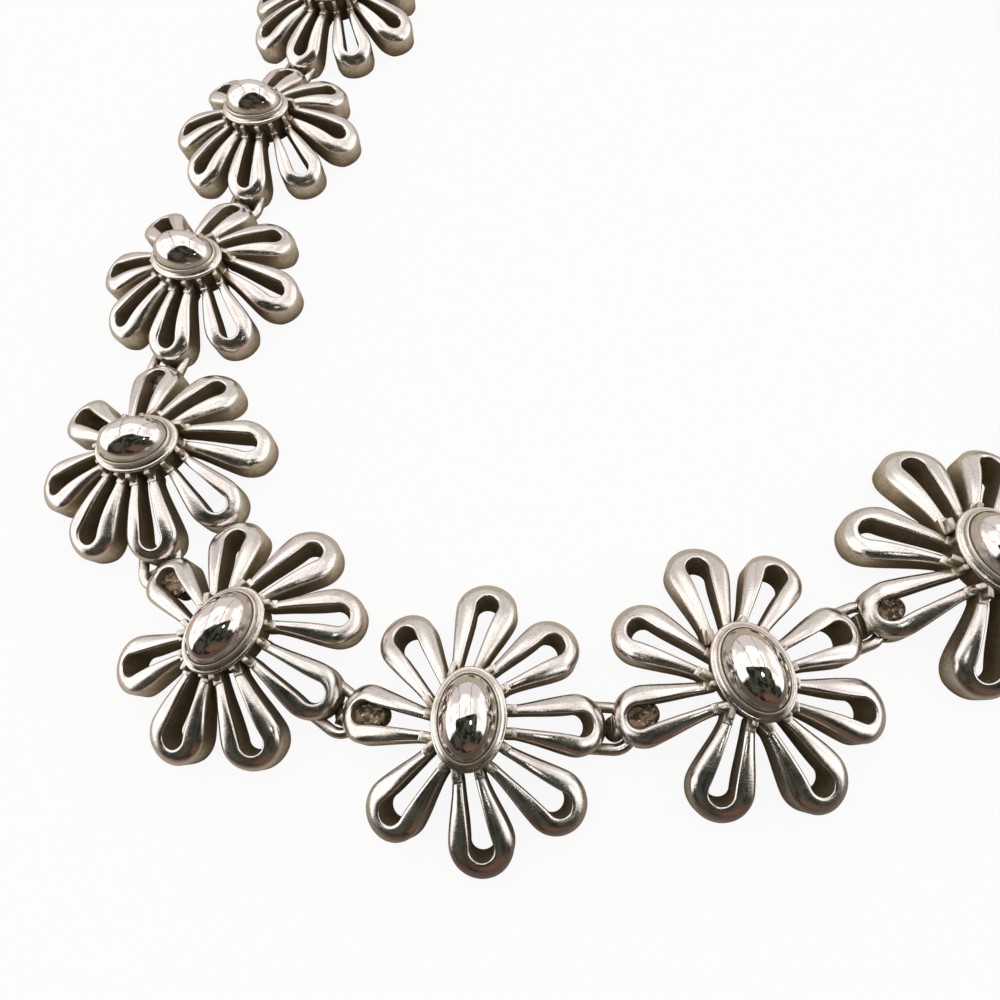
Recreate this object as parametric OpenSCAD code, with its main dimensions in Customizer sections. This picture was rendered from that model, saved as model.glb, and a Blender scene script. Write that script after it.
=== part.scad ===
// Silver choker: identical openwork daisy links hooked into each other, closed by a plain barrel clasp.
// The loop lies flat on the surface z = 0, and its middle is the origin.

/* [Chain] */
// Distance between the centres of two links that lie in line
pitch = 27; // [26.6:0.1:28]
// How far the hinge of a joint lies from the centre of the link before it
hinge_reach = 13.5; // [13.3:0.1:13.7]
// Sideways place of both hinges, seen from the middle of the dome
hinge_side = 0.3; // [0:0.1:0.6]

/* [Petals] */
// Width between the middles of a petal's two legs where they leave the gallery
leg_spread = 2.1; // [1.9:0.05:2.3]
// Width of a leg where it leaves the gallery
leg_w = 1.05; // [0.8:0.05:1.2]
// Radius of the round end of a petal's opening
opening_r = 1.1; // [0.9:0.05:1.3]
// Height of a petal's top edge at the gallery
root_top = 5.2; // [5:0.1:5.5]
// Height of a petal's top edge at its tip
tip_top = 2.7; // [2.5:0.1:3]
// Height of a petal's lower edge at the gallery
root_bottom = 3.1; // [2.8:0.1:3.4]
// Length of the flat that a petal's tip stands on
foot_l = 1.2; // [0.8:0.1:1.6]

/* [Centre] */
// Half of the rim's long width, across the chain
rim_long = 4.75; // [4.6:0.05:4.9]
// Half of the rim's short width, along the chain
rim_short = 3.6; // [3.5:0.05:3.8]
// Height of the rim's top
rim_top = 7; // [6.8:0.1:7.2]
// Height of the dome above the rim
dome_rise = 3.1; // [2.6:0.1:3.4]

/* [Joint] */
// Thickness of the bail's wire
wire_d = 1.1; // [1:0.02:1.14]
// Radius of the bail, to the middle of its wire
bail_r = 1.95; // [1.93:0.01:2]
// Thickness of the eye's strap
strap_t = 0.45; // [0.4:0.05:0.5]
// Clearance over and under the bail inside the eye
play = 0.15; // [0.12:0.01:0.18]

/* [Clasp] */
// Height of the clasp
clasp_h = 3.4; // [3:0.2:4.4]

/* [Hidden] */
$fn = 48;

// Direction of each link, in degrees counter-clockwise from +X, from the first link round to the clasp
headings = [
    -121, -106, -111, -87.5, -42, -10.5, 14, 20,
    39, 56, 79, 113, 145, 163, 177
];
link_count = len(headings);

// The eight petals, counter-clockwise from the one that carries the bail
ROOT_X = 0;
ROOT_Y = 1;
TIP_X = 2;
TIP_Y = 3;
TIP_R = 4;
petals = [
    // root_x, root_y, tip_x, tip_y, tip_r
    [  4.0,  0.1,  10.0,   0.3, 2.85],
    [  2.5,  3.9,   7.2,   7.4, 2.95],
    [ -0.8,  4.7,   0.6,  10.9, 3.1 ],
    [ -3.4,  2.4,  -7.2,   7.4, 3.0 ],
    [ -4.2, -0.7, -10.5,   0.2, 2.85],
    [ -3.0, -3.7,  -6.7,  -8.1, 2.95],
    [  0.2, -5.0,   1.6, -10.5, 3.0 ],
    [  2.9, -3.3,   8.2,  -6.6, 2.95]
];

silver = "silver";

// Petal strip
leg_outer = (leg_spread + leg_w) / 2;
leg_inner = (leg_spread - leg_w) / 2;
root_sink = 0.8;       // how far a petal's legs reach into the gallery
tangent_bite = 0.985;  // straight sides meet a round end just inside its edge
arch_steps = 6;        // flats along the arched top

// Centre: each level is an oval, set in from the rim's edge
gallery_inset = 0.5;
rim_h = 0.8;
step_inset = 0.65;
step_h = 0.3;
dome_inset = 1.1;
dome_sink = 0.2;
hollow_inset = 1.5;
hollow_top = rim_top - 0.6;

// Gallery: the squared end of each leg, with a post above it that carries the rim
block_w = 0.95;
block_reach = 0.45;
block_top = root_top + 0.2;
post_w = 0.6;
post_reach = 0.1;
post_top = rim_top - rim_h / 2;

// Joint, with the hinge's axis at x = y = 0: the bail lies level, and the strap closes round it
wire_z = strap_t + play + wire_d / 2;
slot_top = wire_z + wire_d / 2 + play;
strap_top = slot_top + strap_t;
bail_leg = 2.2;
wall_near = 0.2;       // the strap's outer wall stands inside the bail
wall_t = 0.5;
wall_w = 2;
strap_w = 2.4;
fold_near = 2.8;       // the strap's inner fold stands outside the bail
fold_far = 4.8;
bail_room_r = bail_r + wire_d / 2 + 0.2;
under = 1;             // cutters start this far below the surface

// The clasp ends in the same round tips, at the same distances from the two hinges
exit_gap = hinge_reach - petals[0][TIP_X] - petals[0][TIP_R];
entry_gap = pitch - hinge_reach + petals[4][TIP_X] - petals[4][TIP_R];
clasp_r = petals[0][TIP_R];

function link_name(i) = str("flower_", i < 10 ? "0" : "", i);
function along(angle) = [cos(angle), sin(angle)];
function turned(p, angle) = [
    p[0] * cos(angle) - p[1] * sin(angle),
    p[0] * sin(angle) + p[1] * cos(angle)
];

exit_hinge = [hinge_reach, hinge_side];
entry_hinge = [hinge_reach - pitch, hinge_side];

// Centres of the links: each one is hung on the hinge of the link before it
function centre(i) = i == 0
    ? [0, 0]
    : centre(i - 1) + turned(exit_hinge, headings[i - 1]) - turned(entry_hinge, headings[i]);
centres = [for (i = [0 : link_count - 1]) centre(i)];

// The loop's box, from the round tips of all its petals
tips = [
    for (i = [0 : link_count - 1])
        for (p = petals)
            concat(centres[i] + turned([p[TIP_X], p[TIP_Y]], headings[i]), [p[TIP_R]])
];
loop_left = min([for (t = tips) t[0] - t[2]]);
loop_right = max([for (t = tips) t[0] + t[2]]);
loop_front = min([for (t = tips) t[1] - t[2]]);
loop_back = max([for (t = tips) t[1] + t[2]]);
loop_middle = [(loop_left + loop_right) / 2, (loop_front + loop_back) / 2];

// The clasp spans what is left between the last link's hinge and the first link's
clasp_from = centres[link_count - 1] + turned(exit_hinge, headings[link_count - 1]);
clasp_to = centres[0] + turned(entry_hinge, headings[0]);
clasp_span = norm(clasp_to - clasp_from);
clasp_heading = atan2(clasp_to[1] - clasp_from[1], clasp_to[0] - clasp_from[0]);

// A teardrop from the origin along +X: a narrow root, two straight sides and a round end
module teardrop(length, root_r, end_r, sink) {
    lean = acos((root_r - end_r) / length);
    touch = end_r * tangent_bite * along(lean);
    translate([length, 0]) circle(r = end_r);
    polygon([
        [-sink, root_r],
        [0, root_r],
        [length + touch[0], touch[1]],
        [length + touch[0], -touch[1]],
        [0, -root_r],
        [-sink, -root_r]
    ]);
}

// Side view of a petal: the top falls in an arch, and the lower edge falls straight to the foot
module petal_side(reach) {
    fall = root_top - tip_top;
    arch = [
        for (s = [arch_steps : -1 : 0])
            let (t = s / arch_steps) [reach * t, root_top - fall * t * t]
    ];
    lower = [[-root_sink, root_bottom], [0, root_bottom], [reach - foot_l, 0], [reach, 0]];
    polygon(concat(lower, arch, [[-root_sink, root_top]]));
}

// One petal in its own frame: an upright strip bent into a loop
module petal(length, tip_r) {
    intersection() {
        linear_extrude(height = root_top + 1)
            difference() {
                teardrop(length, leg_outer, tip_r, root_sink);
                teardrop(length, leg_inner, opening_r, root_sink + 1);
            }
        translate([0, tip_r + 1, 0])
            rotate([90, 0, 0])
                linear_extrude(height = 2 * tip_r + 2)
                    petal_side(length + tip_r);
    }
}

// The squared end of a leg and the post above it
module leg_end(side) {
    y = side * leg_spread / 2;
    translate([-root_sink, y - block_w / 2, root_bottom])
        cube([root_sink + block_reach, block_w, block_top - root_bottom]);
    translate([-root_sink, y - post_w / 2, root_bottom])
        cube([root_sink + post_reach, post_w, post_top - root_bottom]);
}

// Puts a petal, or what belongs to it, where its row of the table says
module at_petal(p) {
    lean = atan2(p[TIP_Y] - p[ROOT_Y], p[TIP_X] - p[ROOT_X]);
    translate([p[ROOT_X], p[ROOT_Y], 0]) rotate([0, 0, lean]) children();
}

function petal_length(p) = norm([p[TIP_X] - p[ROOT_X], p[TIP_Y] - p[ROOT_Y]]);

// An oval disc, set in from the rim's edge
module oval(inset, bottom, top) {
    translate([0, 0, bottom])
        linear_extrude(height = top - bottom)
            scale([rim_short - inset, rim_long - inset])
                circle(r = 1);
}

// The dome: the upper part of an ellipsoid
module dome() {
    intersection() {
        translate([0, 0, rim_top])
            scale([rim_short - dome_inset, rim_long - dome_inset, dome_rise])
                sphere(r = 1);
        oval(0, rim_top - dome_sink, rim_top + dome_rise + 1);
    }
}

// The gallery, rim, step and dome, hollow from below
module centre_piece() {
    difference() {
        union() {
            oval(gallery_inset, root_bottom, rim_top - rim_h / 2);
            oval(0, rim_top - rim_h, rim_top);
            oval(step_inset, rim_top - rim_h / 2, rim_top + step_h);
            dome();
        }
        oval(hollow_inset, root_bottom - under, hollow_top);
    }
}

// The half-round wire loop that the next link hooks into, from the end of the link that carries it
module bail() {
    translate([0, 0, wire_z]) {
        rotate_extrude(angle = 180, start = -90)
            translate([bail_r, 0])
                circle(d = wire_d);
        for (side = [-1, 1])
            translate([0, side * bail_r, 0])
                rotate([0, -90, 0])
                    cylinder(d = wire_d, h = bail_leg);
    }
}

// Room for the bail of the link before, at any angle of the joint
module bail_room() {
    translate([0, 0, -under]) cylinder(r = bail_room_r, h = slot_top + under);
}

// The closed strap that goes round the bail of the link before, with a round fold at its inner end
module eye() {
    fold_l = fold_far - strap_w / 2;
    half_w = strap_w * tangent_bite / 2;
    translate([wall_near, -wall_w / 2, 0]) cube([wall_t, wall_w, strap_top]);
    translate([wall_near, -wall_w / 2, 0]) cube([fold_l - wall_near, wall_w, strap_t]);
    translate([wall_near, -wall_w / 2, slot_top]) cube([fold_l - wall_near, wall_w, strap_t]);
    translate([fold_near, -half_w, 0]) cube([fold_l - fold_near, 2 * half_w, strap_top]);
    intersection() {
        translate([fold_l, 0, 0]) cylinder(d = strap_w, h = strap_top);
        translate([fold_near, -strap_w, 0]) cube([fold_far, 2 * strap_w, strap_top]);
    }
}

// One link, with the middle of its dome over the origin and the next link towards +X
module flower() {
    difference() {
        union() {
            for (p = petals) at_petal(p) {
                petal(petal_length(p), p[TIP_R]);
                leg_end(-1);
                leg_end(1);
            }
            centre_piece();
        }
        translate(entry_hinge) bail_room();
    }
    translate(exit_hinge) bail();
    translate(entry_hinge) eye();
}

// Puts a piece into the loop, at a point of the layout and facing along its heading
module in_loop(point, heading) {
    translate(concat(point - loop_middle, [0])) rotate([0, 0, heading]) children();
}

module chain_link(i) {
    color(silver) in_loop(centres[i], headings[i]) flower();
}

// A plain closed bar with round ends, with an eye at one end and a bail at the other
module clasp_body() {
    from = entry_gap + clasp_r;
    to = clasp_span - exit_gap - clasp_r;
    half_w = clasp_r * tangent_bite;
    linear_extrude(height = clasp_h) {
        translate([from, 0]) circle(r = clasp_r);
        translate([to, 0]) circle(r = clasp_r);
        translate([from, -half_w]) square([to - from, 2 * half_w]);
    }
}

module clasp() {
    color(silver) in_loop(clasp_from, clasp_heading) {
        difference() {
            clasp_body();
            bail_room();
        }
        translate([clasp_span, 0]) bail();
        eye();
    }
}

for (i = [0 : link_count - 1])
    chain_link(i);
clasp();
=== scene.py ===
import math
from itertools import product

import bmesh
import bpy
from mathutils import Matrix, Vector, noise
from mathutils.bvhtree import BVHTree


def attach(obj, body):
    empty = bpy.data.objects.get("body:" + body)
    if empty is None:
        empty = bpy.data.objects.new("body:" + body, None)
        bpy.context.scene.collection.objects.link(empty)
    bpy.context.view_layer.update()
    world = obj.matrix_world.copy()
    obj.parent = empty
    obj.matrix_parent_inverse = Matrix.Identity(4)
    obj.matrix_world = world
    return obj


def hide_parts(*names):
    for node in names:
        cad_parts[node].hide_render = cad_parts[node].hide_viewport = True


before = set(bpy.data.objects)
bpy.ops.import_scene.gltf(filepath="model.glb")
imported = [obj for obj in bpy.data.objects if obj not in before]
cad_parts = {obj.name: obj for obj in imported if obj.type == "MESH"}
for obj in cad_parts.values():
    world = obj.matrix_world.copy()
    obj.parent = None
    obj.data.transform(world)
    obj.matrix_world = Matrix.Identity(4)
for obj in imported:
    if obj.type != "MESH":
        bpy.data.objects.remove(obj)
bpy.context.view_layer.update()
print("frame loaded:", len(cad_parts), "nodes")

# Sizes are in millimetres in each link's own frame, and metres once a piece is in its place.
mm = 0.001

# How the links lie: each one hangs on the hinge of the link before it.
chain = {
    "pitch": 27.0,
    "hingeReach": 13.5,
    "hingeSide": 0.3,
    "headings": [-121, -106, -111, -87.5, -42, -10.5, 14, 20, 39, 56, 79, 113, 145, 163, 177],
}

# The eight petals, counter-clockwise from the one that carries the bail.
petals = [
    {"root": (4.0, 0.1), "tip": (10.0, 0.3), "radius": 2.85},
    {"root": (2.5, 3.9), "tip": (7.2, 7.4), "radius": 2.95},
    {"root": (-0.8, 4.7), "tip": (0.6, 10.9), "radius": 3.1},
    {"root": (-3.4, 2.4), "tip": (-7.2, 7.4), "radius": 3.0},
    {"root": (-4.2, -0.7), "tip": (-10.5, 0.2), "radius": 2.85},
    {"root": (-3.0, -3.7), "tip": (-6.7, -8.1), "radius": 2.95},
    {"root": (0.2, -5.0), "tip": (1.6, -10.5), "radius": 3.0},
    {"root": (2.9, -3.3), "tip": (8.2, -6.6), "radius": 2.95},
]


# A point of the link's frame, turned to a heading in degrees.
def turned(point, heading):
    a = math.radians(heading)
    x, y = point
    return Vector((x * math.cos(a) - y * math.sin(a), x * math.sin(a) + y * math.cos(a)))


# Centres of the links, and the clasp's first hinge, heading and span, about the loop's middle.
def layChain():
    reach, side = chain["hingeReach"], chain["hingeSide"]
    exitHinge, entryHinge = (reach, side), (reach - chain["pitch"], side)
    centres = [Vector((0, 0))]
    for before, heading in zip(chain["headings"], chain["headings"][1:]):
        centres.append(centres[-1] + turned(exitHinge, before) - turned(entryHinge, heading))
    tips = [
        (centre + turned(petal["tip"], heading), petal["radius"])
        for centre, heading in zip(centres, chain["headings"])
        for petal in petals
    ]
    middle = Vector([
        (min(p[i] - r for p, r in tips) + max(p[i] + r for p, r in tips)) / 2 for i in (0, 1)
    ])
    start = centres[-1] + turned(exitHinge, chain["headings"][-1])
    gap = centres[0] + turned(entryHinge, chain["headings"][0]) - start
    clasp = {
        "start": start - middle,
        "heading": math.degrees(math.atan2(gap.y, gap.x)),
        "span": gap.length,
    }
    return [c - middle for c in centres], clasp


centres, claspPlace = layChain()
print("chain laid out, clasp span", round(claspPlace["span"], 2), "mm")


# Mesh tools: a row is a list of (x, y, z, tarnish), and a body grows row by row.
def newMesh():
    bm = bmesh.new()
    bm.verts.layers.float.new("tarnish")
    return bm


def placeRing(bm, ring, row):
    layer = bm.verts.layers.float["tarnish"]
    for vert, (x, y, z, tarnish) in zip(ring, row):
        vert.co = (x, y, z)
        vert[layer] = tarnish


def rimOf(bm, ring):
    return [bm.edges.get(pair) for pair in zip(ring, ring[1:] + ring[:1])]


# Starts with a circle and extrudes its rim through the rows.
def loft(bm, rows, closeEnd=True):
    ring = bmesh.ops.create_circle(bm, segments=len(rows[0]), radius=1.0)["verts"]
    placeRing(bm, ring, rows[0])
    bmesh.ops.contextual_create(bm, geom=rimOf(bm, ring))
    for row in rows[1:]:
        made = set(bmesh.ops.extrude_edge_only(bm, edges=rimOf(bm, ring))["geom"])
        neighbours = [[edge.other_vert(vert) for edge in vert.link_edges] for vert in ring]
        ring = [next(other for other in around if other in made) for around in neighbours]
        placeRing(bm, ring, row)
    if closeEnd:
        bmesh.ops.contextual_create(bm, geom=rimOf(bm, ring))
    return ring


def finishShell(bm, name):
    bmesh.ops.recalc_face_normals(bm, faces=bm.faces)
    mesh = bpy.data.meshes.new(name)
    bm.to_mesh(mesh)
    bm.free()
    return mesh


# A box with softened edges and one tarnish all over.
def boxShell(place, size, soft, tarnish, name):
    bm = newMesh()
    bmesh.ops.create_cube(bm, size=1.0, matrix=place @ Matrix.Diagonal((*size, 1)))
    bmesh.ops.bevel(
        bm, geom=bm.edges[:], offset=soft, segments=2, profile=0.5, affect="EDGES", material=-1
    )
    layer = bm.verts.layers.float["tarnish"]
    for vert in bm.verts:
        vert[layer] = tarnish
    return finishShell(bm, name)


# The union of two closed shells, or the first without the second.
def combine(mesh, toolMesh, operation):
    body = bpy.data.objects.new("body", mesh)
    tool = bpy.data.objects.new("tool", toolMesh)
    for obj in (body, tool):
        bpy.context.scene.collection.objects.link(obj)
    step = body.modifiers.new("step", "BOOLEAN")
    step.operation = operation
    step.solver = "MANIFOLD"
    step.object = tool
    graph = bpy.context.evaluated_depsgraph_get()
    result = bpy.data.meshes.new_from_object(body.evaluated_get(graph))
    for obj in (body, tool):
        bpy.data.objects.remove(obj)
    return result


def fuse(meshes):
    body = meshes[0]
    for mesh in meshes[1:]:
        body = combine(body, mesh, "UNION")
    return body


# Petal: an upright strip bent into a loop, with a rounded top that falls in an arch to its tip.
petalShape = {
    "legSpread": 2.1,
    "legWidth": 1.05,
    "openingRadius": 1.12,
    "openingShift": 0.45,
    "rootTop": 5.2,
    "tipTop": 2.7,
    "rootBottom": 3.1,
    "foot": 1.2,
    "sink": 0.8,
    "curve": 0.3,
    "bulge": 0.12,
    "legRows": 15,
    "tipRows": 30,
    "tipAngle": 100.0,
    # at the root and at the tip: the lip's width and drop, and the outer side's drop and flatness
    "lip": (0.34, 0.32),
    "innerDrop": (0.3, 0.26),
    "outerDrop": (0.74, 0.95),
    "flatness": (2.15, 2.0),
    "lipRows": 6,
    "outerRows": 9,
    # share of the arch's slope by which the inner and the outer wall lean in
    "lean": (0.62, 0.2),
    # the points of each wall, as shares of its height
    "innerWall": (0.0, 0.3, 0.6, 0.85),
    "outerWall": (0.8, 0.45, 0.0),
    # tarnish: at the inner wall's foot and what it loses upwards, at the crest's two edges,
    # and on the outer wall, what it loses towards the tip, and how much darker the wall grows
    # towards its foot
    "innerTarnish": (0.98, 0.65),
    "edgeTarnish": 0.3,
    "outerTarnish": (0.48, 0.2, 0.5),
}


# One edge of a petal in plan, from a root round the tip to the other root: (x, y, share of tip).
def petalEdge(length, rootHalf, tipRadius):
    s = petalShape
    a = math.radians(s["tipAngle"])
    touch = Vector((length + tipRadius * math.cos(a), tipRadius * math.sin(a)))
    along = Vector((math.sin(a), -math.cos(a)))
    root = Vector((0, rootHalf))
    pull = (touch - root).length * s["curve"]
    leg = [Vector((-s["sink"], rootHalf)).to_tuple() + (0.0,)]
    for i in range(s["legRows"]):
        t = i / s["legRows"]
        p = (
            root * (1 - t) ** 3
            + (root + Vector((pull, pull * s["bulge"]))) * 3 * t * (1 - t) ** 2
            + (touch - along * pull) * 3 * t * t * (1 - t)
            + touch * t ** 3
        )
        leg.append((p.x, p.y, t * t * (3 - 2 * t)))
    tip = []
    for i in range(s["tipRows"] + 1):
        b = a - 2 * a * i / s["tipRows"]
        tip.append((length + tipRadius * math.cos(b), tipRadius * math.sin(b), 1.0))
    return leg + tip + [(x, -y, share) for x, y, share in reversed(leg)]


# Heights of a petal's top and lower edge at a distance from its root.
def petalHeights(x, reach):
    s = petalShape
    t = max(0.0, min(1.0, x / reach))
    top = s["rootTop"] - (s["rootTop"] - s["tipTop"]) * t * t
    low = s["rootBottom"] * max(0.0, 1 - max(0.0, x) / (reach - s["foot"]))
    return top, low


# The strip's section from the inner wall over the crest to the outer wall, as
# (distance from the inner wall, depth below the crest, share of the wall's height, tarnish).
def petalSection(width, tip):
    s = petalShape
    crest, inner, outer, flatness = (
        s[key][0] + (s[key][1] - s[key][0]) * tip
        for key in ("lip", "innerDrop", "outerDrop", "flatness")
    )
    atFoot, lost = s["innerTarnish"]
    points = [(0.0, inner, wall, atFoot - lost * wall ** 2) for wall in s["innerWall"]]
    for i in range(s["lipRows"]):
        a = math.radians(90 * i / s["lipRows"])
        across, drop = crest * (1 - math.cos(a)), inner * (1 - math.sin(a))
        points.append((across, drop, 1.0, s["edgeTarnish"] * (1 - i / s["lipRows"]) ** 2))
    power = 2 / flatness
    for i in range(s["outerRows"] + 1):
        a = math.radians(90 * i / s["outerRows"])
        across = crest + (width - crest) * math.sin(a) ** power
        drop = outer * (1 - max(0.0, math.cos(a)) ** power)
        points.append((across, drop, 1.0, s["edgeTarnish"] * (i / s["outerRows"]) ** 4))
    shade, lost, gained = s["outerTarnish"]
    shade -= lost * tip
    for wall in s["outerWall"]:
        points.append((width, outer, wall, shade + gained * (1 - wall) ** 2))
    return points


def petalShell(petal, index):
    s = petalShape
    root, tip = Vector(petal["root"]), Vector(petal["tip"])
    axis = tip - root
    length, heading = axis.length, math.degrees(math.atan2(axis.y, axis.x))
    radius = petal["radius"]
    reach = length + radius
    outerEdge = petalEdge(length, (s["legSpread"] + s["legWidth"]) / 2, radius)
    innerEdge = petalEdge(
        length + s["openingShift"], (s["legSpread"] - s["legWidth"]) / 2, s["openingRadius"]
    )
    rows = []
    for (ox, oy, share), (ix, iy, _) in zip(outerEdge, innerEdge):
        width = math.hypot(ox - ix, oy - iy)
        row = []
        for across, depth, wall, tarnish in petalSection(width, share):
            u = across / width
            x, y = ix + (ox - ix) * u, iy + (oy - iy) * u
            top, low = petalHeights(x, reach)
            z = low + (top - depth - low) * wall if wall < 1 else top - depth
            # the strip stands square to the arched top, so its foot lies further in
            lean = s["lean"][0] + (s["lean"][1] - s["lean"][0]) * u
            slope = lean * 2 * (s["rootTop"] - s["tipTop"]) * max(0.0, x) / reach ** 2
            place = root + turned((x - slope * (top - depth - z), y), heading)
            row.append((place.x, place.y, z, tarnish))
        rows.append(row)
    bm = newMesh()
    loft(bm, rows)
    return finishShell(bm, f"petal{index}")


# Squared end of a leg, and the post above it that carries the rim.
legEnd = {
    "sink": 1.3,
    "soft": 0.14,
    "block": {"width": 0.95, "reach": 0.42, "top": 5.28, "tarnish": 0.1},
    "post": {"width": 0.6, "reach": 0.02, "top": 6.46, "tarnish": 0.3},
}


def legEndShell(petal, side, kind):
    s = legEnd[kind]
    sink, low = legEnd["sink"], petalShape["rootBottom"]
    root, axis = Vector(petal["root"]), Vector(petal["tip"]) - Vector(petal["root"])
    size = (sink + s["reach"], s["width"], s["top"] - low)
    across = side * petalShape["legSpread"] / 2
    place = (
        Matrix.Translation((root.x, root.y, 0))
        @ Matrix.Rotation(math.atan2(axis.y, axis.x), 4, "Z")
        @ Matrix.Translation(((s["reach"] - sink) / 2, across, (s["top"] + low) / 2))
    )
    return boxShell(place, size, legEnd["soft"], s["tarnish"], kind)


# Centre: the hollow, gallery, lip, sloping band, bezel and dome in one oval body.
centreShape = {
    "short": 3.6,
    "long": 4.75,
    "segments": 112,
    # (set in from the rim, height, tarnish)
    "profile": [
        (1.5, 6.4, 0.9), (1.5, 5.3, 0.9), (1.5, 4.2, 0.9), (1.46, 3.15, 0.8), (1.4, 3.1, 0.7),
        (0.6, 3.1, 0.7), (0.53, 3.13, 0.7), (0.5, 3.2, 0.6), (0.5, 3.9, 0.55), (0.5, 4.6, 0.55),
        (0.5, 5.3, 0.55), (0.5, 5.9, 0.55), (0.48, 6.2, 0.5), (0.4, 6.3, 0.4), (0.22, 6.34, 0.2),
        (0.1, 6.38, 0.05), (0.03, 6.46, 0.0), (0.0, 6.57, 0.0), (0.02, 6.68, 0.0),
        (0.08, 6.76, 0.0), (0.16, 6.8, 0.0), (0.23, 6.81, 0.12), (0.28, 6.82, 0.25),
        (0.34, 6.86, 0.1), (0.43, 6.93, 0.03), (0.5, 6.99, 0.15), (0.54, 7.01, 0.6),
        (0.55, 7.08, 0.45), (0.56, 7.2, 0.15), (0.58, 7.33, 0.04), (0.62, 7.42, 0.0),
        (0.68, 7.475, 0.0), (0.745, 7.48, 0.0), (0.79, 7.45, 0.05), (0.82, 7.4, 0.3),
        (0.835, 7.36, 0.6),
    ],
    "domeInset": 0.84,
    "domeBase": 7.0,
    "domeRise": 3.09,
    "domeRows": 25,
    "domeAngles": (7.5, 89.0),
    "domeTarnish": 0.4,
    "domeTarnishRows": 1.5,
}


def ovalRow(halfX, halfY, z, tarnish):
    count = centreShape["segments"]
    angles = [2 * math.pi * i / count for i in range(count)]
    return [(halfX * math.cos(a), halfY * math.sin(a), z, tarnish) for a in angles]


def centreShell():
    s = centreShape
    rows = [ovalRow(s["short"] - d, s["long"] - d, z, t) for d, z, t in s["profile"]]
    baseX, baseY = s["short"] - s["domeInset"], s["long"] - s["domeInset"]
    low, high = s["domeAngles"]
    for i in range(s["domeRows"] + 1):
        a = math.radians(low + (high - low) * i / s["domeRows"])
        z = s["domeBase"] + s["domeRise"] * math.sin(a)
        tarnish = s["domeTarnish"] * max(0.0, 1 - i / s["domeTarnishRows"])
        rows.append(ovalRow(baseX * math.cos(a), baseY * math.cos(a), z, tarnish))
    bm = newMesh()
    top = loft(bm, rows, closeEnd=False)
    bmesh.ops.pointmerge(bm, verts=top, merge_co=(0, 0, s["domeBase"] + s["domeRise"]))
    return finishShell(bm, "centre")


# Joint: the half-round bail of one link lies level in the closed strap of the next.
joint = {
    "wire": 1.1,
    "bailRadius": 1.95,
    "bailLeg": 2.2,
    "wireSegments": 20,
    "turnRows": 24,
    # tarnish at the wire's sides, and how much lighter the wire is on top and darker below
    "bailTarnish": (0.62, 0.5),
    "strap": 0.45,
    "play": 0.15,
    "roomRadius": 2.7,
    "roomSegments": 64,
    "hiddenTarnish": 0.9,
    # the strap's floor, its distances from the hinge
    "wallNear": 0.2,
    "wallWidth": 2.0,
    "floorPast": 0.3,
    "floorSoft": 0.08,
    # the strap's folded inner end
    "foldNear": 2.8,
    "foldFar": 4.8,
    "strapWidth": 2.4,
    "foldRows": (6, 10, 20),
    "foldMiddle": 0.6,
    "plateGap": 0.3,
    "plateSoft": 0.36,
    "plateRows": 6,
    "plateRings": (8, 0.11),
    "plateTarnish": 0.7,
    "lumpTarnish": 0.8,
    "lumpLevels": ((0.1, 0.0), (0.0, 0.12)),
    "lumpPast": 0.1,
    "lumpSize": 0.16,
    "lumpScale": 1.7,
    "lumpLayer": 3.0,
    "lumpRise": (0.1, 4),
    # the strap's outer end: near-black, tarnish with painted shade of the joint's gap; its levels
    # as (set in, height) and (set in, depth below the strap's top)
    "sootAndShadeTarnish": 1.3,
    "knuckleRadius": 1.22,
    "knuckleTurn": -20.0,
    "knuckleFoot": ((0.08, 0.0), (0.0, 0.1)),
    "knuckleTop": ((0.0, 0.3), (0.1, 0.09), (0.34, 0.0)),
    "knuckleRows": 24,
    "soleRadius": (1.28, 0.95),
    "soleLean": 0.75,
    "soleLevels": ((0.08, 0.0), (0.0, 0.1), (0.0, 0.8), (0.1, 1.0), (0.35, 1.08)),
    "soleRows": 32,
}
joint["wireZ"] = joint["strap"] + joint["play"] + joint["wire"] / 2
joint["slotTop"] = joint["wireZ"] + joint["wire"] / 2 + joint["play"]
joint["strapTop"] = joint["slotTop"] + joint["strap"]


def bailShell(hinge):
    s = joint
    radius, leg = s["bailRadius"], s["bailLeg"]
    line = [((-leg, -radius), (1, 0)), ((-leg / 2, -radius), (1, 0))]
    for i in range(s["turnRows"] + 1):
        a = math.radians(-90 + 180 * i / s["turnRows"])
        line.append(((radius * math.cos(a), radius * math.sin(a)), (-math.sin(a), math.cos(a))))
    line += [((-leg / 2, radius), (-1, 0)), ((-leg, radius), (-1, 0))]
    atSides, lost = s["bailTarnish"]
    rows = []
    for (x, y), (dx, dy) in line:
        row = []
        for i in range(s["wireSegments"]):
            a = 2 * math.pi * i / s["wireSegments"]
            out, up = s["wire"] / 2 * math.cos(a), s["wire"] / 2 * math.sin(a)
            place = (hinge[0] + x + dy * out, hinge[1] + y - dx * out, s["wireZ"] + up)
            row.append((*place, atSides - lost * math.sin(a)))
        rows.append(row)
    bm = newMesh()
    loft(bm, rows)
    return finishShell(bm, "bail")


# An upright solid on an outline: rings at (inset, height), drawn in to the outline's middle line.
def padShell(outline, levels, line, half, tarnish, name):
    s = joint
    low, high = line
    lumpFrom, lumpSlope = s["lumpRise"]
    rows = []
    for inset, z in levels:
        rise = s["lumpSize"] * min(1.0, max(0.0, inset - lumpFrom) * lumpSlope)
        row = []
        for x, y in outline:
            middle = Vector((min(max(x, low[0]), high[0]), low[1]))
            p = Vector((x, y)) + (middle - Vector((x, y))) * min(1.0, inset / half)
            spot = (p.x * s["lumpScale"], p.y * s["lumpScale"], s["lumpLayer"])
            row.append((p.x, p.y, z + rise * noise.noise(spot), tarnish))
        rows.append(row)
    bm = newMesh()
    loft(bm, rows)
    return finishShell(bm, name)


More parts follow.
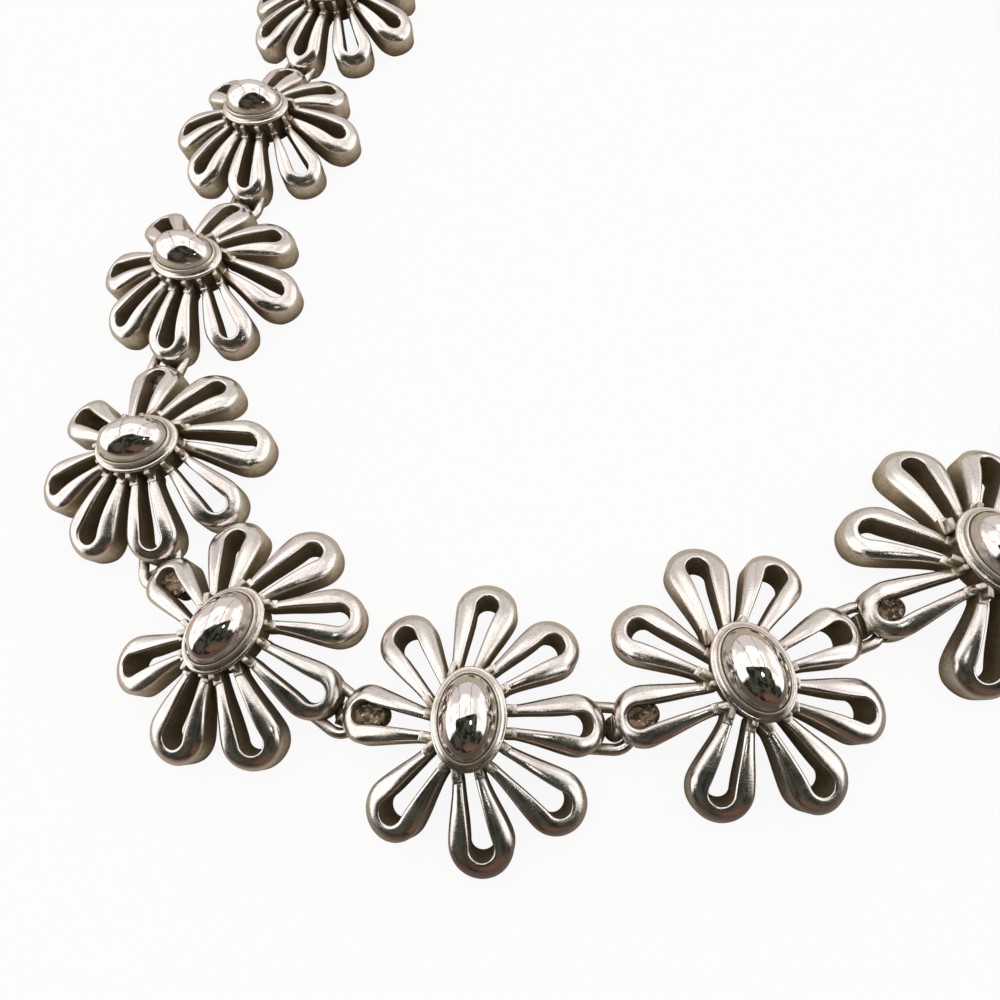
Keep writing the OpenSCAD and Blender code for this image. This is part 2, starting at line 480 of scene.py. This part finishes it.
# Outline of the fold from a straight near side to a round far end, and the line along its middle.
def foldOutline(hinge, nearX):
    half = joint["strapWidth"] / 2
    farX = hinge[0] + joint["foldFar"] - half
    nearRows, sideRows, endRows = joint["foldRows"]
    near = [(nearX, hinge[1] + half * (2 * i / nearRows - 1)) for i in range(nearRows)]
    side = [nearX + (farX - nearX) * i / sideRows for i in range(sideRows)]
    end = []
    for i in range(endRows + 1):
        a = math.radians(90 - 180 * i / endRows)
        end.append((farX + half * math.cos(a), hinge[1] + half * math.sin(a)))
    out = [(x, hinge[1] + half) for x in side]
    back = [(x, hinge[1] - half) for x in reversed(side[1:])]
    line = ((nearX + joint["foldMiddle"], hinge[1]), (farX, hinge[1]))
    return near + out + end + back, line, half


# The strap's inner end: a round-ended plate over the bail, and the lump that closes it below.
def foldShells(hinge):
    s = joint
    soft, top = s["plateSoft"], s["strapTop"]
    levels = [(0.0, s["slotTop"]), (0.0, top - soft)]
    for i in range(1, s["plateRows"]):
        a = math.radians(90 * i / s["plateRows"])
        levels.append((soft * (1 - math.cos(a)), top - soft * (1 - math.sin(a))))
    rings, step = s["plateRings"]
    levels += [(soft + step * i, top) for i in range(rings)]
    plate = foldOutline(hinge, hinge[0] + s["wallNear"] + s["plateGap"])
    lump = foldOutline(hinge, hinge[0] + s["foldNear"])
    lumpLevels = [*s["lumpLevels"], (0.0, s["slotTop"] + s["lumpPast"])]
    return [
        padShell(plate[0], levels, *plate[1:], s["plateTarnish"], "plate"),
        padShell(lump[0], lumpLevels, *lump[1:], s["lumpTarnish"], "lump"),
    ]


# The strap's outer end: a half-round knuckle that fills the bail, near-black as tarnish with
# painted shade of the joint's gap.
def knuckleShell(hinge):
    s = joint
    turn = math.radians(s["knuckleTurn"])
    levels = [*s["knuckleFoot"]]
    levels += [(inset, s["strapTop"] - depth) for inset, depth in s["knuckleTop"]]
    rows = []
    for inset, z in levels:
        radius = s["knuckleRadius"] - inset
        flat = (hinge[0] + inset * math.cos(turn), hinge[1] + inset * math.sin(turn))
        row = [(*flat, z, s["sootAndShadeTarnish"])]
        for i in range(s["knuckleRows"] + 1):
            a = turn + math.radians(-90 + 180 * i / s["knuckleRows"])
            place = (hinge[0] + radius * math.cos(a), hinge[1] + radius * math.sin(a), z)
            row.append((*place, s["sootAndShadeTarnish"]))
        rows.append(row)
    bm = newMesh()
    loft(bm, rows)
    return finishShell(bm, "knuckle")


# A low round sole about the knuckle, wider on the knuckle's side, near-black as tarnish with
# painted shade of the joint's gap.
def soleShell(hinge):
    s = joint
    turn = math.radians(s["knuckleTurn"])
    wide, short = s["soleRadius"]
    rows = []
    for inset, z in s["soleLevels"]:
        row = []
        for i in range(s["soleRows"]):
            a = math.radians(360 * i / s["soleRows"])
            share = min(1.0, max(0.0, math.cos(a - turn) + s["soleLean"]))
            radius = short + (wide - short) * share - inset
            place = (hinge[0] + radius * math.cos(a), hinge[1] + radius * math.sin(a), z)
            row.append((*place, s["sootAndShadeTarnish"]))
        rows.append(row)
    bm = newMesh()
    loft(bm, rows)
    return finishShell(bm, "sole")


def eyeShells(hinge):
    s = joint
    near, far = hinge[0] + s["wallNear"], hinge[0] + s["foldNear"] + s["floorPast"]
    middle = Matrix.Translation(((near + far) / 2, hinge[1], s["strap"] / 2))
    size = (far - near, s["wallWidth"], s["strap"])
    floor = boxShell(middle, size, s["floorSoft"], s["hiddenTarnish"], "floor")
    return [knuckleShell(hinge), soleShell(hinge), floor, *foldShells(hinge)]


# Room for the bail of the link before, cut from the under side of a link's end.
def cutBailRoom(mesh, hinge):
    s = joint
    bm = newMesh()
    depth = s["slotTop"] + 1
    bmesh.ops.create_cone(
        bm, cap_ends=True, segments=s["roomSegments"],
        radius1=s["roomRadius"], radius2=s["roomRadius"], depth=depth,
        matrix=Matrix.Translation((hinge[0], hinge[1], s["slotTop"] - depth / 2)),
    )
    layer = bm.verts.layers.float["tarnish"]
    for vert in bm.verts:
        vert[layer] = s["hiddenTarnish"]
    return combine(mesh, finishShell(bm, "room"), "DIFFERENCE")


def linkMesh():
    shells = [centreShell()]
    for index, petal in enumerate(petals):
        shells.append(petalShell(petal, index))
        for side, kind in product((-1, 1), ("block", "post")):
            shells.append(legEndShell(petal, side, kind))
    reach, side = chain["hingeReach"], chain["hingeSide"]
    entry = (reach - chain["pitch"], side)
    body = cutBailRoom(fuse(shells), entry)
    return fuse([body, bailShell((reach, side)), *eyeShells(entry)])


# The clasp at the back: a plain round-edged bar, with an eye at one end and a bail at the other.
claspShape = {
    "height": 3.4,
    "radius": 2.85,
    "soft": 0.9,
    "roundRows": 7,
    "endSteps": 24,
    # what the bar leaves free before its first hinge and after its last
    "ends": (0.15, 0.65),
    "foot": [(0.15, 0.0, 0.6), (0.04, 0.04, 0.6), (0.0, 0.15, 0.5)],
    "sideTarnish": 0.2,
    "topTarnish": 0.05,
}


def claspMesh():
    s = claspShape
    span = claspPlace["span"]
    radius, soft, height = s["radius"], s["soft"], s["height"]
    near, far = radius + s["ends"][0], span - radius - s["ends"][1]
    outline = []
    for x, start in ((near, 90), (far, -90)):
        for i in range(s["endSteps"] + 1):
            a = math.radians(start + 180 * i / s["endSteps"])
            outline.append((x + radius * math.cos(a), radius * math.sin(a)))
    levels = [*s["foot"], (0.0, height - soft, s["sideTarnish"])]
    for i in range(1, s["roundRows"] + 1):
        a = math.radians(90 * i / s["roundRows"])
        inset, z = soft * (1 - math.cos(a)), height - soft * (1 - math.sin(a))
        levels.append((inset, z, s["topTarnish"]))
    rows = []
    for inset, z, tarnish in levels:
        row = []
        for x, y in outline:
            middle = Vector((min(max(x, near), far), 0))
            p = Vector((x, y)) + (middle - Vector((x, y))) * (inset / radius)
            row.append((p.x, p.y, z, tarnish))
        rows.append(row)
    bm = newMesh()
    loft(bm, rows)
    body = cutBailRoom(finishShell(bm, "bar"), (0, 0))
    return fuse([body, bailShell((span, 0)), *eyeShells((0, 0))])


# Wear: how hollows gather tarnish, how even the hand finish is, and which edges stay creases.
wear = {
    "rays": 24,
    "rayTurn": 2.39996,
    "rayStart": 0.02,
    "rayReach": 3.5,
    "hollowShare": 0.75,
    "weld": 0.0005,
    "creaseAngle": 40.0,
    # each wave of the uneven surface has a scale and a height
    "waves": ((0.22, 0.035), (0.75, 0.01)),
    "seedStep": (17.3, 5.1, 9.7),
    "stillFoot": 0.4,
    "domeShare": 0.3,
    "domeFrom": (7.25, 9.0),
    # the rusty fold: where it starts, how far it goes past the strap, and half its width
    "rustFrom": 1.0,
    "rustPast": 0.1,
    "rustHalf": 1.25,
}


# Directions spread evenly over a half globe, denser toward its pole.
def rayFan(count):
    fan = []
    for i in range(count):
        out = math.sqrt((i + 0.5) / count)
        a = i * wear["rayTurn"]
        fan.append(Vector((out * math.cos(a), out * math.sin(a), math.sqrt(1 - out * out))))
    return fan


# Adds tarnish where a vertex faces nearby metal, and marks the polished dome and the rusty fold.
def gatherTarnish(mesh, isLink, eyeAt):
    bm = bmesh.new()
    bm.from_mesh(mesh)
    bmesh.ops.remove_doubles(bm, verts=bm.verts, dist=wear["weld"])
    loose = [edge for edge in bm.edges if not edge.link_faces]
    bmesh.ops.delete(bm, geom=loose, context="EDGES")
    tree = BVHTree.FromBMesh(bm)
    fan = rayFan(wear["rays"])
    reach = wear["rayReach"]
    base, full = wear["domeFrom"]
    foldEnd, foldTop = joint["foldFar"] + wear["rustPast"], joint["strapTop"] + joint["lumpSize"]
    layer = bm.verts.layers.float["tarnish"]
    polish = bm.verts.layers.float.new("polish")
    rust = bm.verts.layers.float.new("rust")
    for vert in bm.verts:
        x, y, z = vert.co.x - eyeAt[0], vert.co.y - eyeAt[1], vert.co.z
        onFold = wear["rustFrom"] < x < foldEnd and abs(y) < wear["rustHalf"] and z < foldTop
        vert[rust] = 1.0 if onFold else 0.0
        turn = Vector((0, 0, 1)).rotation_difference(vert.normal)
        start = vert.co + vert.normal * wear["rayStart"]
        hits = [tree.ray_cast(start, turn @ ray, reach) for ray in fan]
        closed = sum(1 - hit[3] / reach for hit in hits if hit[0] is not None)
        hollow = min(1.0, closed / len(fan) * 2)
        gained = wear["hollowShare"] * hollow * (1 - vert[layer])
        vert[layer] = max(vert[layer], vert[layer] + gained)
        vert[polish] = min(1.0, max(0.0, (z - base) / (full - base))) if isLink else 0.0
    bm.to_mesh(mesh)
    bm.free()


# One finished piece of the choker: an uneven copy of a mesh, put in its place in the loop.
def placePiece(mesh, name, node, place, heading, seed):
    piece = bpy.data.objects.new(name, mesh.copy())
    piece.data.name = name
    bpy.context.scene.collection.objects.link(piece)
    bm = bmesh.new()
    bm.from_mesh(piece.data)
    polish = bm.verts.layers.float["polish"]
    shift = Vector([seed * step for step in wear["seedStep"]])
    for vert in bm.verts:
        share = 1 - (1 - wear["domeShare"]) * vert[polish]
        push = sum(size * noise.noise(vert.co * scale + shift) for scale, size in wear["waves"])
        low = min(1.0, max(0.0, vert.co.z / wear["stillFoot"]))
        vert.co += vert.normal * push * share * low
    bm.to_mesh(piece.data)
    bm.free()
    piece.data.transform(
        Matrix.Scale(mm, 4)
        @ Matrix.Translation((place.x, place.y, 0))
        @ Matrix.Rotation(math.radians(heading), 4, "Z")
    )
    piece.data.shade_smooth()
    piece.data.set_sharp_from_angle(angle=math.radians(wear["creaseAngle"]))
    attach(piece, "root")
    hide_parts(node)
    return piece


link = linkMesh()
gatherTarnish(link, True, (chain["hingeReach"] - chain["pitch"], chain["hingeSide"]))
print("link fused:", len(link.vertices), "vertices", len(link.polygons), "faces")
pieces = []
for i, (place, heading) in enumerate(zip(centres, chain["headings"]), 1):
    node = f"flower_{i:02d}"
    pieces.append(placePiece(link, "silver_" + node, node, place, heading, i))
clasp = claspMesh()
gatherTarnish(clasp, False, (0, 0))
claspSeed = 20
pieces.append(placePiece(
    clasp, "silver_clasp", "clasp", claspPlace["start"], claspPlace["heading"], claspSeed
))
print("pieces placed:", len(pieces))


# Node helpers: a node with its values, and links by socket name.
def addNode(tree, kind, values=None, **settings):
    node = tree.nodes.new(kind)
    for key, value in settings.items():
        setattr(node, key, value)
    for key, value in (values or {}).items():
        if isinstance(value, bpy.types.NodeSocket):
            tree.links.new(value, node.inputs[key])
        else:
            node.inputs[key].default_value = value
    return node


def mathNode(tree, operation, a, b):
    return addNode(tree, "ShaderNodeMath", {0: a, 1: b}, operation=operation).outputs[0]


def plus(tree, a, b):
    return mathNode(tree, "ADD", a, b)


def minus(tree, a, b):
    return mathNode(tree, "SUBTRACT", a, b)


def times(tree, a, b):
    return mathNode(tree, "MULTIPLY", a, b)


def vectorNode(tree, operation, values):
    return addNode(tree, "ShaderNodeVectorMath", values, operation=operation)


def mixValue(tree, factor, a, b):
    return addNode(tree, "ShaderNodeMix", {0: factor, 2: a, 3: b}, data_type="FLOAT").outputs[0]


def mixColour(tree, factor, a, b, blend="MIX"):
    return addNode(
        tree, "ShaderNodeMix", {0: factor, 6: a, 7: b}, data_type="RGBA", blend_type=blend
    ).outputs[2]


def softStep(tree, value, low, high, toLow=0.0, toHigh=1.0):
    return addNode(
        tree, "ShaderNodeMapRange",
        {"Value": value, "From Min": low, "From Max": high, "To Min": toLow, "To Max": toHigh},
        interpolation_type="SMOOTHSTEP",
    ).outputs[0]


def noiseMap(tree, vector, scale, detail, roughness=0.5):
    values = {"Vector": vector, "Scale": scale, "Detail": detail, "Roughness": roughness}
    return addNode(tree, "ShaderNodeTexNoise", values).outputs[0]


silverLook = {
    "clean": (0.93, 0.895, 0.86, 1),
    "rosy": (0.90, 0.82, 0.805, 1),
    "straw": (0.90, 0.85, 0.745, 1),
    "film": (0.40, 0.325, 0.19, 1),
    "crust": (0.225, 0.165, 0.078, 1),
    "dirt": (0.07, 0.045, 0.022, 1),
    # near-black: the deepest tarnish, and painted shade in the joints' gaps
    "sootAndShade": (0.016, 0.013, 0.009, 1),
    "rust": (0.36, 0.25, 0.15, 1),
    # noise maps: scale per millimetre, detail and roughness
    "cloudMap": (0.16, 2.0, 0.55),
    "patchMap": (0.5, 4.0, 0.6),
    "grainMap": (2.4, 4.0, 0.65),
    "fineMap": (6.5, 3.0, 0.65),
    "lumpMap": (1.5, 3.0, 0.6),
    "scratchMap": (1.0, 2.0, 0.5),
    # how far the grain and the patches make the edge of the tarnish ragged
    "ragged": (0.55, 0.5),
    # where each colour starts to show and where it is full, and its share
    "rosyAt": (0.42, 0.62),
    "strawAt": (0.52, 0.75),
    "strawShare": 0.6,
    "filmAt": (0.12, 0.62),
    "filmShare": 0.8,
    "crustAt": (0.5, 1.0),
    "sootAndShadeAt": (1.05, 1.4),
    "rustAt": (0.44, 0.56),
    "rustShare": 0.92,
    "glintAt": (0.54, 0.66),
    "sandAt": (0.34, 0.66),
    "sandDark": 0.84,
    "crustDull": 0.55,
    # fine scratches: how each set is turned and stretched
    "scratches": (((0, 0, 0.5), (0.35, 14, 14)), ((0.3, 0.2, -0.9), (0.3, 18, 18))),
    "scratchAt": (0.56, 0.7),
    "scratchRough": 0.06,
    "domeSpared": 0.8,
    "topRoughness": 0.11,
    "topWorn": 0.14,
    "wornAt": (0.35, 0.7),
    "domeRoughness": 0.045,
    "bezelRoughness": 0.34,
    "domeAt": (0.0, 0.04),
    "mirrorAt": (0.2, 0.9),
    "crustRoughness": 0.5,
    "pitScale": 1.5,
    "pitAt": (0.05, 0.16),
    # heights of the relief
    "grainHeight": 0.45,
    "fineHeight": 0.32,
    "crustHeight": 0.8,
    "rustHeight": 6.0,
    "scratchHeight": -0.05,
    "pitHeight": -0.3,
    "bumpStrength": 0.35,
    "bumpDistance": 0.00006,
}


def silverMaterial():
    look = silverLook
    mat = bpy.data.materials.new("antiqueSilver")
    mat.use_nodes = True
    tree = mat.node_tree
    tree.nodes.clear()
    out = addNode(tree, "ShaderNodeOutputMaterial")
    shader = addNode(tree, "ShaderNodeBsdfPrincipled")
    tree.links.new(shader.outputs[0], out.inputs["Surface"])
    coord = addNode(tree, "ShaderNodeTexCoord").outputs["Object"]
    toMm = {"Vector": coord, "Scale": (1 / mm, 1 / mm, 1 / mm)}
    inMm = addNode(tree, "ShaderNodeMapping", toMm).outputs[0]
    tarnish, polish, rust = (
        addNode(tree, "ShaderNodeAttribute", attribute_name=name).outputs["Fac"]
        for name in ("tarnish", "polish", "rust")
    )
    cloud, patch, grain, fine, lumps = (
        noiseMap(tree, inMm, *look[name])
        for name in ("cloudMap", "patchMap", "grainMap", "fineMap", "lumpMap")
    )

    # Tarnish with a ragged edge, in three layers; the darkest is deepest tarnish and also painted
    # shade in the joints' gaps
    byGrain, byPatch = look["ragged"]
    spread = plus(tree, tarnish, times(tree, minus(tree, grain, 0.5), byGrain))
    spread = plus(tree, spread, times(tree, minus(tree, patch, 0.5), byPatch))
    film = softStep(tree, spread, *look["filmAt"])
    crust = softStep(tree, spread, *look["crustAt"])
    sootAndShade = softStep(tree, spread, *look["sootAndShadeAt"])

    metal = mixColour(tree, softStep(tree, cloud, *look["rosyAt"]), look["clean"], look["rosy"])
    straw = softStep(tree, patch, *look["strawAt"], 0.0, look["strawShare"])
    metal = mixColour(tree, straw, metal, look["straw"])
    colour = mixColour(tree, times(tree, film, look["filmShare"]), metal, look["film"])
    colour = mixColour(tree, crust, colour, look["crust"])
    colour = mixColour(tree, sootAndShade, colour, look["sootAndShade"])
    mottle = mixColour(tree, softStep(tree, lumps, *look["rustAt"]), look["dirt"], look["rust"])
    mottle = mixColour(tree, softStep(tree, grain, *look["glintAt"]), mottle, look["clean"])
    colour = mixColour(tree, times(tree, rust, look["rustShare"]), colour, mottle)
    sand = softStep(tree, fine, *look["sandAt"], look["sandDark"], 1.0)
    sand = mathNode(tree, "MAXIMUM", sand, polish)
    colour = mixColour(tree, 1.0, colour, sand, "MULTIPLY")
    tree.links.new(colour, shader.inputs["Base Color"])

    metallic = minus(tree, 1.0, times(tree, crust, look["crustDull"]))
    tree.links.new(metallic, shader.inputs["Metallic"])

    # Fine scratches in two directions on the bare metal
    sets = []
    for turn, stretch in look["scratches"]:
        values = {"Vector": inMm, "Rotation": turn, "Scale": stretch}
        along = addNode(tree, "ShaderNodeMapping", values).outputs[0]
        lines = noiseMap(tree, along, *look["scratchMap"])
        sets.append(softStep(tree, lines, *look["scratchAt"]))
    offDome = minus(tree, 1.0, times(tree, polish, look["domeSpared"]))
    scratches = times(tree, times(tree, plus(tree, *sets), offDome), minus(tree, 1.0, film))

    # The dome is a mirror on top and brushed towards its bezel
    topRoughness = look["topRoughness"]
    worn = softStep(tree, patch, *look["wornAt"], topRoughness, topRoughness + look["topWorn"])
    mirror = softStep(
        tree, polish, *look["mirrorAt"], look["bezelRoughness"], look["domeRoughness"]
    )
    ground = mixValue(tree, softStep(tree, polish, *look["domeAt"]), worn, mirror)
    ground = plus(tree, ground, times(tree, scratches, look["scratchRough"]))
    roughness = mixValue(tree, film, ground, look["crustRoughness"])
    tree.links.new(roughness, shader.inputs["Roughness"])

    pits = addNode(tree, "ShaderNodeTexVoronoi", {"Vector": inMm, "Scale": look["pitScale"]})
    pit = softStep(tree, pits.outputs["Distance"], *look["pitAt"], 1.0, 0.0)
    reliefs = [
        times(tree, grain, times(tree, offDome, look["grainHeight"])),
        times(tree, fine, times(tree, offDome, look["fineHeight"])),
        times(tree, fine, times(tree, crust, look["crustHeight"])),
        times(tree, lumps, times(tree, rust, look["rustHeight"])),
        times(tree, scratches, look["scratchHeight"]),
        times(tree, pit, times(tree, offDome, look["pitHeight"])),
    ]
    height = reliefs[0]
    for relief in reliefs[1:]:
        height = plus(tree, height, relief)
    values = {
        "Height": height, "Strength": look["bumpStrength"], "Distance": look["bumpDistance"]
    }
    bump = addNode(tree, "ShaderNodeBump", values).outputs[0]
    tree.links.new(bump, shader.inputs["Normal"])
    return mat


silver = silverMaterial()
for piece in pieces:
    piece.data.materials.clear()
    piece.data.materials.append(silver)
print("silver made")

# Floor: a plain pale sheet under the choker, lit from within like a light table.
floorLook = {
    "size": 3.0,
    "colour": (0.93, 0.93, 0.925, 1),
    "roughness": 0.6,
    "specular": 0.2,
    "glow": 0.92,
    "glowColour": (1, 1, 1, 1),
    # the sheet as the silver shows it: painted shade from the choker, and darker painted shade in
    # front of it
    "shadeInMetal": (0.62, 0.56, 0.46, 1),
    "shadeInMetalFront": (0.13, 0.105, 0.085, 1),
    "front": (-0.086, -0.06),
}


def makeFloor():
    look = floorLook
    bm = bmesh.new()
    bmesh.ops.create_grid(bm, x_segments=1, y_segments=1, size=look["size"] / 2)
    mesh = bpy.data.meshes.new("floor")
    bm.to_mesh(mesh)
    bm.free()
    floor = bpy.data.objects.new("floor", mesh)
    bpy.context.scene.collection.objects.link(floor)
    mat = bpy.data.materials.new("paleSheet")
    mat.use_nodes = True
    tree = mat.node_tree
    sheet = tree.nodes["Principled BSDF"]
    rays = addNode(tree, "ShaderNodeLightPath")
    spot = addNode(tree, "ShaderNodeTexCoord").outputs["Object"]
    depth = addNode(tree, "ShaderNodeSeparateXYZ", {0: spot}).outputs["Y"]
    # painted shade: in reflections the sheet goes from the choker's shade to a darker shade in
    # front of it
    behind = softStep(tree, depth, *look["front"])
    shown = mixColour(tree, behind, look["shadeInMetalFront"], look["shadeInMetal"])
    tone = mixColour(tree, rays.outputs["Is Glossy Ray"], look["colour"], shown)
    tree.links.new(tone, sheet.inputs["Base Color"])
    sheet.inputs["Roughness"].default_value = look["roughness"]
    sheet.inputs["Specular IOR Level"].default_value = look["specular"]
    glow = addNode(tree, "ShaderNodeEmission", {"Color": look["glowColour"]})
    share = times(tree, rays.outputs["Is Camera Ray"], look["glow"])
    values = {0: share, 1: sheet.outputs[0], 2: glow.outputs[0]}
    mix = addNode(tree, "ShaderNodeMixShader", values)
    tree.links.new(mix.outputs[0], tree.nodes["Material Output"].inputs["Surface"])
    mesh.materials.append(mat)


makeFloor()

# Studio: pale panels overhead and at the sides, and an unlit room towards the front.
studio = {
    "panel": (1.6, 1.53, 1.46, 1),
    "panelFar": (0.88, 0.84, 0.80, 1),
    "wall": (0.72, 0.68, 0.655, 1),
    "room": (0.07, 0.07, 0.056, 1),
    "roomDeep": (0.02, 0.018, 0.014, 1),
    "hand": (0.17, 0.088, 0.055, 1),
    "seam": (0.30, 0.29, 0.28, 1),
    "backdrop": (1.0, 1.0, 1.0, 1),
    "strength": 1.0,
    # noise maps: scale and detail, and where each one starts and is full
    "driftMap": (2.2, 2.0),
    "drift": 0.4,
    "sheenMap": (2.3, 1.0),
    "sheenAt": (0.37, 0.59),
    "blotchMap": (2.6, 2.0),
    "blotchAt": (0.42, 0.6),
    "handAt": (0.4, 0.5),
    # parts of the globe: the way that they face, their edge and its softness
    "wallArea": (((0, 1, 0), 0.56, 0.1), ((0, -0.2, -1), -0.8, 0.08)),
    "roomArea": (((0.42, -0.9, 0), 0.0, 0.07), ((-0.55, -0.83, 0), 0.0, 0.07)),
    "handArea": ((0, -1, -0.15), 0.82, 0.12),
    "seamArea": ((0, 1, 0.2), 0.0, 0.05),
    "seamsAt": (-0.42, 0.36),
    "seamHalf": 0.02,
    "seamSoft": 0.012,
}


def makeStudio():
    look = studio
    world = bpy.data.worlds.new("studio")
    world.use_nodes = True
    bpy.context.scene.world = world
    tree = world.node_tree
    tree.nodes.clear()
    out = addNode(tree, "ShaderNodeOutputWorld")
    straight = addNode(tree, "ShaderNodeTexCoord").outputs["Generated"]

    # Directions that drift a little, so that no panel has a ruled edge
    scale, detail = look["driftMap"]
    values = {"Vector": straight, "Scale": scale, "Detail": detail}
    drift = addNode(tree, "ShaderNodeTexNoise", values).outputs["Color"]
    centred = vectorNode(tree, "SUBTRACT", {0: drift, 1: (0.5, 0.5, 0.5)}).outputs[0]
    small = vectorNode(tree, "SCALE", {0: centred, "Scale": look["drift"]}).outputs[0]
    bent = vectorNode(tree, "ADD", {0: straight, 1: small}).outputs[0]
    ray = vectorNode(tree, "NORMALIZE", {0: bent}).outputs[0]

    # Share of the globe that faces a direction, with a soft border
    def beyond(direction, edge, soft):
        values = {0: ray, 1: Vector(direction).normalized()}
        facing = vectorNode(tree, "DOT_PRODUCT", values).outputs["Value"]
        return softStep(tree, facing, edge - soft, edge + soft)

    def seamMask(place):
        half, soft = look["seamHalf"], look["seamSoft"]
        sides = [beyond((1, 0, 0), place + step, soft) for step in (-half, half)]
        return times(tree, minus(tree, *sides), beyond(*look["seamArea"]))

    sheen = softStep(tree, noiseMap(tree, straight, *look["sheenMap"]), *look["sheenAt"])
    colour = mixColour(tree, sheen, look["panelFar"], look["panel"])
    wall = times(tree, *(beyond(*area) for area in look["wallArea"]))
    colour = mixColour(tree, wall, colour, look["wall"])
    for place in look["seamsAt"]:
        colour = mixColour(tree, seamMask(place), colour, look["seam"])
    blotch = noiseMap(tree, straight, *look["blotchMap"])
    room = mixColour(
        tree, softStep(tree, blotch, *look["blotchAt"]), look["roomDeep"], look["room"]
    )
    hand = times(tree, beyond(*look["handArea"]), softStep(tree, blotch, *look["handAt"]))
    room = mixColour(tree, hand, room, look["hand"])
    front = times(tree, *(beyond(*area) for area in look["roomArea"]))
    colour = mixColour(tree, front, colour, room)
    seen = addNode(tree, "ShaderNodeLightPath").outputs["Is Camera Ray"]
    colour = mixColour(tree, seen, colour, look["backdrop"])
    values = {"Color": colour, "Strength": look["strength"]}
    light = addNode(tree, "ShaderNodeBackground", values)
    tree.links.new(light.outputs[0], out.inputs["Surface"])


# A dark card that shows only in the metal: it stands for the unlit side of the studio.
card = {
    "left": -0.075, "right": 0.07, "front": -0.07, "back": 0.01, "above": 0.004,
    "corner": 0.02, "cornerRows": 6,
    "dark": (0.014, 0.014, 0.011, 1),
    "light": (0.078, 0.088, 0.06, 1),
    "blotchMap": (32.0, 2.0),
    "blotchAt": (0.4, 0.62),
    # a small lamp in the card, which leaves a spark in each dome
    "lampPlace": (0.02, -0.012, 0.0),
    "lampRadius": 0.0052,
    "lampEdge": (0.85, 1.1),
    "lamp": (6.0, 6.0, 5.8, 1),
}


def makeCard(at):
    width, depth = card["right"] - card["left"], card["back"] - card["front"]
    middle = ((card["left"] + card["right"]) / 2, (card["front"] + card["back"]) / 2, 0)
    bm = bmesh.new()
    bmesh.ops.create_grid(
        bm, x_segments=1, y_segments=1, size=0.5,
        matrix=Matrix.Translation(middle) @ Matrix.Diagonal((width, depth, 1, 1)),
    )
    bmesh.ops.bevel(
        bm, geom=bm.verts[:], offset=card["corner"], segments=card["cornerRows"], profile=0.5,
        affect="VERTICES", material=-1,
    )
    mesh = bpy.data.meshes.new("card")
    bm.to_mesh(mesh)
    bm.free()
    obj = bpy.data.objects.new("card", mesh)
    obj.location = (at[0], at[1], at[2] + card["above"])
    bpy.context.scene.collection.objects.link(obj)
    obj.visible_camera = False
    obj.visible_diffuse = False
    obj.visible_shadow = False
    mat = bpy.data.materials.new("card")
    mat.use_nodes = True
    tree = mat.node_tree
    tree.nodes.clear()
    out = addNode(tree, "ShaderNodeOutputMaterial")
    spot = addNode(tree, "ShaderNodeTexCoord").outputs["Object"]
    blotch = softStep(tree, noiseMap(tree, spot, *card["blotchMap"]), *card["blotchAt"])
    tone = mixColour(tree, blotch, card["dark"], card["light"])
    away = vectorNode(tree, "DISTANCE", {0: spot, 1: card["lampPlace"]}).outputs["Value"]
    edges = [card["lampRadius"] * share for share in card["lampEdge"]]
    tone = mixColour(tree, softStep(tree, away, *edges, 1.0, 0.0), tone, card["lamp"])
    glow = addNode(tree, "ShaderNodeEmission", {"Color": tone})
    tree.links.new(glow.outputs[0], out.inputs["Surface"])
    mesh.materials.append(mat)


makeStudio()

# Camera: from in front and above, as the photograph is taken.
cameraSetup = {
    "lens": 25.4,
    "sensor": 36,
    "clipStart": 0.001,
    "place": (-0.02775, -0.07183, 0.07394),
    "turn": (22.73, 4.36, -6.93),
}
lens = bpy.data.cameras.new("camera")
lens.lens = cameraSetup["lens"]
lens.sensor_width = cameraSetup["sensor"]
lens.clip_start = cameraSetup["clipStart"]
camera = bpy.data.objects.new("camera", lens)
camera.location = cameraSetup["place"]
camera.rotation_euler = [math.radians(a) for a in cameraSetup["turn"]]
bpy.context.scene.collection.objects.link(camera)
bpy.context.scene.camera = camera
bpy.context.scene.view_settings.view_transform = "Standard"
makeCard(cameraSetup["place"])
print("studio lit, camera set")
